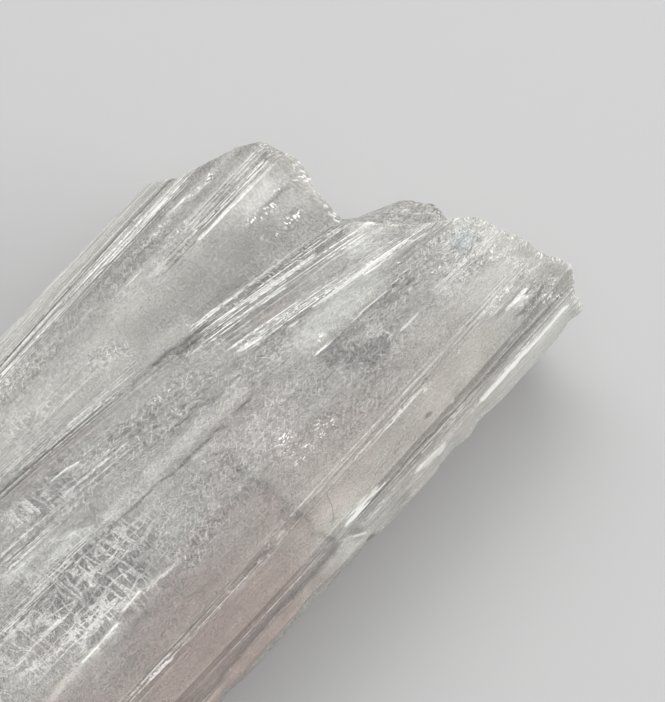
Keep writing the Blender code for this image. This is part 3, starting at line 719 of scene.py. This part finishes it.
class Tree:
    """Short ways to add and join shader nodes."""

    def __init__(self, name):
        self.material = bpy.data.materials.new(name)
        self.material.use_nodes = True
        self.nodes, self.links = self.material.node_tree.nodes, self.material.node_tree.links
        self.shader, self.output = self.nodes["Principled BSDF"], self.nodes["Material Output"]

    def node(self, kind, *values, **settings):
        node = self.nodes.new("ShaderNode" + kind)
        for name, value in settings.items():
            setattr(node, name, value)
        for socket, value in zip(node.inputs, values):
            self.put(value, socket)
        return node

    def put(self, value, socket):
        if isinstance(value, bpy.types.NodeSocket):
            self.links.new(value, socket)
        elif value is not None:
            socket.default_value = value

    def shade(self, **values):
        """Sets or joins the shader's inputs. Their names have _ for each space."""
        for name, value in values.items():
            self.put(value, self.shader.inputs[name.replace("_", " ")])

    def math(self, operation, *values, clamp=False):
        return self.node("Math", *values, operation=operation, use_clamp=clamp).outputs[0]

    def vector(self, operation, *values):
        return self.node("VectorMath", *values, operation=operation).outputs[0]

    def times(self, first, *others):
        for other in others:
            first = self.math("MULTIPLY", first, other)
        return first

    def most(self, first, *others):
        for other in others:
            first = self.math("MAXIMUM", first, other)
        return first

    def added(self, total, *weighted, clamp=False):
        """The total and each (value, weight). A clamp is for the last sum only."""
        for n, (value, weight) in enumerate(weighted, 1):
            total = self.math("MULTIPLY_ADD", value, weight, total, clamp=clamp and n == len(weighted))
        return total

    def ramp(self, value, low, high):
        """0 up to low and 1 from high on, smooth between them. Low may be the larger."""
        return self.node("MapRange", value, low, high, interpolation_type="SMOOTHSTEP").outputs[0]

    def mix(self, share, first, second):
        node = self.node("Mix", share, data_type="RGBA")
        self.put(first, node.inputs[6])
        self.put(second, node.inputs[7])
        return node.outputs[2]

    def parts(self, name):
        """The three values of a mesh attribute."""
        vector = self.node("Attribute", attribute_name=name).outputs["Vector"]
        return self.node("SeparateXYZ", vector).outputs

    def stretched(self, vector, size):
        """The vector in units of a grain's (length, width)."""
        return self.vector("MULTIPLY", vector, (1.0 / size[0], 1.0 / size[1], 1.0))

    def moved(self, vector, by):
        return self.vector("ADD", vector, (by, by * 1.7, 0.0))

    def turned(self, vector, angle):
        return self.node("VectorRotate", vector, None, None, angle, rotation_type="Z_AXIS").outputs[0]

    def noise_texture(self, vector, size, **values):
        node = self.node("TexNoise", self.stretched(vector, size), noise_dimensions="2D")
        for name, value in dict(values, Scale=1.0).items():
            node.inputs[name].default_value = value
        return node.outputs

    def noise(self, vector, size, detail=3.0, roughness=0.5):
        """Noise from 0 to 1, with blots of this (length, width)."""
        return self.noise_texture(vector, size, Detail=detail, Roughness=roughness)[0]

    def bent(self, vector, size, by):
        """The vector, pushed about by noise of this size."""
        push = self.noise_texture(vector, (size, size), Detail=1.0)["Color"]
        return self.vector("MULTIPLY_ADD", push, (by * 2.0, by * 2.0, 0.0), vector)

    def contour(self, value, width, core=0.25):
        """1 along the lines where a noise crosses its middle."""
        away = self.math("ABSOLUTE", self.math("SUBTRACT", value, 0.5))
        return self.ramp(away, width, core * width)

    def cells(self, place):
        """Random cells: each one's own random values, its middle and the distance to it."""
        node = self.node("TexVoronoi", place, voronoi_dimensions="2D")
        node.inputs["Scale"].default_value = 1.0
        own = self.node("SeparateColor", node.outputs["Color"]).outputs
        return own, node.outputs["Position"], node.outputs["Distance"]

    def fibres(self, vector, size, half_width, half_length=0.70):
        """1 on thin fibres, one to a cell and measured in cells, turned at random."""
        place = self.stretched(vector, (size, size))
        own, middle, _ = self.cells(place)
        angle = self.math("MULTIPLY_ADD", own[0], math.pi, -0.5 * math.pi)
        u, v = self.node("SeparateXYZ", self.vector("SUBTRACT", place, middle)).outputs[:2]
        cos, sin = self.math("COSINE", angle), self.math("SINE", angle)
        across = self.math("SUBTRACT", self.times(v, cos), self.times(u, sin))
        down = self.math("ADD", self.times(u, cos), self.times(v, sin))
        thin = self.ramp(self.math("ABSOLUTE", across), half_width, 0.3 * half_width)
        ends = self.ramp(self.math("ABSOLUTE", down), half_length, 0.6 * half_length)
        return self.times(thin, ends, self.ramp(own[1], 0.2, 1.0))

    def flecks(self, vector, size, share):
        """1 on small flecks, in about this share of the cells."""
        own, _, distance = self.cells(self.stretched(vector, size))
        chosen = self.ramp(own[0], 1.0 - share, 1.0 - 0.7 * share)
        return self.times(chosen, self.ramp(distance, 0.55, 0.30))


CLEAR, MILKY = (0.665, 0.645, 0.60, 1), (0.90, 0.89, 0.835, 1)
PINK, GREEN = (0.66, 0.50, 0.45, 1), (0.79, 0.82, 0.76, 1)
# The dark colour takes the crystal's darker gaps and marks and all painted shade; white takes its fibres
# and threads and the painted glints.
DARK_AND_SHADE, WHITE = (0.33, 0.32, 0.31, 1), (1.0, 0.992, 0.96, 1)
GLINT_BLUE = (0.86, 0.97, 1.0, 1)
REFRACTION = 1.63
ABSORB_COLOUR, ABSORB_DENSITY = (0.86, 0.83, 0.79, 1), 40.0
BUMP_STRENGTH, BUMP_DISTANCE = 0.8, 0.00005


class Crystal(Tree):
    """The clear crystal's nodes, with the values that its patterns share. Sizes are in mm."""

    def __init__(self):
        super().__init__("danburite_clear")
        self.grain = self.node("Attribute", attribute_name="grain").outputs["Vector"]
        self.milk, self.crackle, self.lines = self.parts("zones")
        self.pink, self.green, self.flash = self.parts("tints_and_glint")
        # painted glint flecks, dark marks that are partly painted shade, and painted edge light: glints on
        # crests and shade in grooves
        self.spark, self.dark, self.edge = self.parts("marks")
        self.web, self.cracked, self.bright = self.parts("veils")
        self.mottle = self.noise(self.grain, (2.2, 1.0), detail=6.0, roughness=0.65)
        self.patchy = self.noise(self.moved(self.grain, 17.0), (3.4, 1.5), roughness=0.6)
        self.frost = self.noise(self.grain, (0.20, 0.13), roughness=0.85)
        self.thread = self.noise(self.grain, (15.0, 0.11), detail=2.0, roughness=0.6)
        self.curved = self.bent(self.grain, 0.9, 0.18)

    def blots(self, size, low, high, by=0.0, **texture):
        """1 on blots of a noise over the grain, 0 between them."""
        place = self.moved(self.grain, by) if by else self.grain
        return self.ramp(self.noise(place, size, **texture), low, high)


# The crystal's patterns, each shown where one of the mesh's attributes says.

def hatching(t):
    """Short slanting lines, and fainter ones across them."""
    first = t.noise(t.turned(t.grain, 0.82), (1.3, 0.11), detail=1.0)
    second = t.noise(t.turned(t.curved, -0.75), (0.9, 0.12), detail=1.0)
    return t.most(t.ramp(first, 0.56, 0.72), t.times(t.ramp(second, 0.58, 0.74), 0.45))


def crackling(t, hatch):
    """Curved fibres over one another, and the darker gaps between them."""
    hairs = t.fibres(t.curved, 0.62, 0.032)
    for by, size in ((3.1, 0.50), (9.3, 0.90), (14.7, 0.42)):
        hairs = t.most(hairs, t.fibres(t.moved(t.curved, by), size, 0.020 / size))
    hairs = t.most(hairs, t.times(hatch, 0.5))
    gaps = t.blots((0.55, 0.36), 0.54, 0.38, by=5.0, detail=5.0, roughness=0.8)
    hairs = t.times(hairs, t.crackle, t.added(1.0, (gaps, -0.5)))
    return hairs, t.added(t.times(gaps, t.crackle), (t.crackle, 0.18))


def ladder(t, hatch):
    """A ladder of pale rungs and rails, and the darker pores between them."""
    swayed = t.bent(t.grain, 2.2, 0.16)
    rungs = t.contour(t.noise(swayed, (0.70, 3.2), detail=1.0), 0.075)
    rails = t.contour(t.noise(t.moved(swayed, 7.0), (4.4, 0.95), detail=1.0), 0.065)
    small = t.contour(t.noise(t.moved(swayed, 13.0), (0.34, 1.0), detail=0.5), 0.05)
    net = t.most(t.times(rungs, 0.95), rails, t.times(t.most(small, hatch), 0.5))
    net = t.times(net, t.added(0.5, (t.ramp(t.patchy, 0.30, 0.60), 0.5)))
    pores = t.times(t.added(1.2, (net, -1.0)), t.ramp(t.mottle, 0.30, 0.58))
    net = t.times(net, t.added(0.55, (t.ramp(t.frost, 0.34, 0.62), 0.45)), t.web)
    return net, t.times(pores, t.web)


def striae(t):
    """Fine dotted lengthwise threads, painted glints on the sharp crests and painted shade in the sharp
    grooves, which come and go.
    """
    dotted = t.blots((0.6, 0.2), 0.30, 0.55, detail=2.0, roughness=0.7)
    speckled = t.blots((0.22, 0.10), 0.35, 0.60, detail=1.0)
    passing = t.blots((7.0, 0.6), 0.38, 0.62, by=11.0, detail=2.0)
    threads = t.times(t.ramp(t.thread, 0.54, 0.62), dotted, t.lines)
    crest = t.times(t.ramp(t.edge, 0.38, 0.86), t.added(0.7, (speckled, 0.3)),
                    t.added(0.4, (passing, 0.6)))
    return threads, crest, t.times(t.ramp(t.edge, -0.3, -1.0), t.added(1.0, (passing, -0.6)))


def glint_flecks(t):
    """Painted glints: small bright flecks, in loose clouds."""
    near = t.blots((1.1, 0.6), 0.36, 0.56, by=31.0, detail=2.0)
    small = t.flecks(t.curved, (0.20, 0.12), 0.45)
    large = t.flecks(t.moved(t.curved, 4.0), (0.42, 0.20), 0.22)
    return t.times(t.most(small, large), near, t.spark)


def darkness(t, gaps, groove):
    """Gaps, pricks, the valleys between threads, hair cracks, the dark marks and painted shade in the
    grooves.
    """
    pricks = t.times(t.ramp(t.frost, 0.44, 0.30), t.most(t.crackle, t.web))
    valleys = t.times(t.ramp(t.thread, 0.47, 0.37), t.lines)
    hair = t.noise(t.moved(t.grain, 41.0), (5.5, 3.2), detail=1.0)
    hair = t.times(t.contour(hair, 0.010, core=0.2), t.cracked)
    deep = t.added(t.dark, (gaps, 0.62), (pricks, 0.45), (valleys, 0.45))
    return t.added(t.most(deep, t.times(hair, 0.8)), (groove, 0.15), clamp=True)


def lightness(t):
    """Frost, soft patches, milky zones and bright places. The milkiness is partly painted light on some
    side faces, and some bright places are painted highlights.
    """
    milky = t.times(t.added(0.5, (t.ramp(t.mottle, 0.30, 0.75), 0.4)), t.milk)
    frost = t.times(t.ramp(t.frost, 0.36, 0.68), 0.42)
    light = t.added(frost, (t.ramp(t.patchy, 0.35, 0.65), 0.12), (milky, 0.75))
    return t.math("ADD", light, t.bright, clamp=True)


def crystal_material():
    t = Crystal()
    hatch = hatching(t)
    hairs, gaps = crackling(t, hatch)
    net, pores = ladder(t, hatch)
    threads, crest, groove = striae(t)
    # white: crackle fibres, threads, the ladder's net, the painted glints on crests and the painted glint
    # flecks
    white = t.most(t.times(hairs, 0.72), t.times(threads, 0.9), t.times(crest, 0.85), t.times(net, 0.62))
    white = t.math("MAXIMUM", white, glint_flecks(t), clamp=True)
    deep, light = darkness(t, t.most(gaps, pores), groove), lightness(t)

    colour = t.mix(light, CLEAR, MILKY)
    for share, tint in ((t.times(t.pink, 0.95), PINK), (t.times(t.green, 0.35), GREEN),
                        (t.times(deep, 0.7), DARK_AND_SHADE), (white, WHITE),
                        (t.times(t.flash, 0.45), GLINT_BLUE)):
        colour = t.mix(share, colour, tint)
    passes = t.added(0.76, (light, -0.40), (deep, 0.15), (white, -0.7), clamp=True)
    rough = t.added(0.16, (t.ramp(t.mottle, 0.35, 0.7), 0.14))
    off_the_ends = t.math("SUBTRACT", 1.0, t.node("SeparateXYZ", t.grain).outputs[2])
    bump = t.node("Bump", BUMP_STRENGTH, BUMP_DISTANCE)
    t.put(t.added(t.times(t.thread, off_the_ends, 0.7), (t.frost, 0.5)), bump.inputs["Height"])
    t.shade(Base_Color=colour, Transmission_Weight=passes, Roughness=rough, IOR=REFRACTION,
            Normal=bump.outputs[0])
    absorb = t.node("VolumeAbsorption", ABSORB_COLOUR, ABSORB_DENSITY)
    t.put(absorb.outputs[0], t.output.inputs["Volume"])
    return t.material


def floor_material():
    paper = Tree("floor_paper")
    paper.shade(Base_Color=(0.55, 0.55, 0.55, 1), Roughness=1.0, Specular_IOR_Level=0.1)
    return paper.material


# --- floor, light and camera, in metres ---

FLOOR_SIZE = 3.0
# Each light: its name, place, watts, and (width, height). All are turned to the same place.
LIGHTS = (("key", (0.20, 0.26, 0.46), 1.77, (0.5, 0.4)),
          ("top", (-0.05, -0.10, 0.60), 0.95, (0.5, 0.5)),
          ("fill_right", (0.34, -0.46, 0.30), 2.0, (0.5, 0.36)))
LIT_PLACE = Vector((0.02, -0.004, 0.01))
WORLD_LIGHT = 0.35
# The photo's view: degrees from straight in front and above the floor, and metres.
AZIMUTH, ELEVATION, DISTANCE = -51.4, 65.0, 0.18667
VIEW_TARGET = Vector((0.02395, -0.00565, 0.016))
LENS, SENSOR = 120.0, 36.0


def stand(name, data, place, direction):
    """A light or camera at a place, facing in a direction."""
    added = bpy.data.objects.new(name, data)
    bpy.context.collection.objects.link(added)
    added.location = place
    added.rotation_mode = "QUATERNION"
    added.rotation_quaternion = direction.to_track_quat("-Z", "Y")
    return added


def studio():
    bpy.ops.mesh.primitive_plane_add(size=FLOOR_SIZE, location=(0, 0, 0))
    floor = bpy.context.object
    floor.name = "floor"
    floor.data.materials.append(floor_material())
    world = bpy.data.worlds.new("studio")
    bpy.context.scene.world = world
    world.use_nodes = True
    background = world.node_tree.nodes["Background"]
    background.inputs["Color"].default_value = (1, 1, 1, 1)
    background.inputs["Strength"].default_value = WORLD_LIGHT
    for name, place, power, size in LIGHTS:
        data = bpy.data.lights.new(name, "AREA")
        data.energy, data.shape = power, "RECTANGLE"
        data.size, data.size_y = size
        stand(name, data, place, LIT_PLACE - Vector(place))
    bpy.context.scene.view_settings.view_transform = "Standard"


def camera():
    azimuth, elevation = math.radians(AZIMUTH), math.radians(ELEVATION)
    back = Vector((math.sin(azimuth) * math.cos(elevation),
                   -math.cos(azimuth) * math.cos(elevation), math.sin(elevation)))
    data = bpy.data.cameras.new("camera")
    data.lens, data.sensor_width = LENS, SENSOR
    data.clip_start, data.clip_end = 0.01, 10.0
    bpy.context.scene.camera = stand("camera", data, VIEW_TARGET + back * DISTANCE, -back)


crystal = bpy.data.objects.new("danburite_surface", crystal_mesh())
bpy.context.collection.objects.link(crystal)
crystal.data.materials.append(crystal_material())
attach(crystal, "root")
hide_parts("danburite_crystal")
studio()
camera()
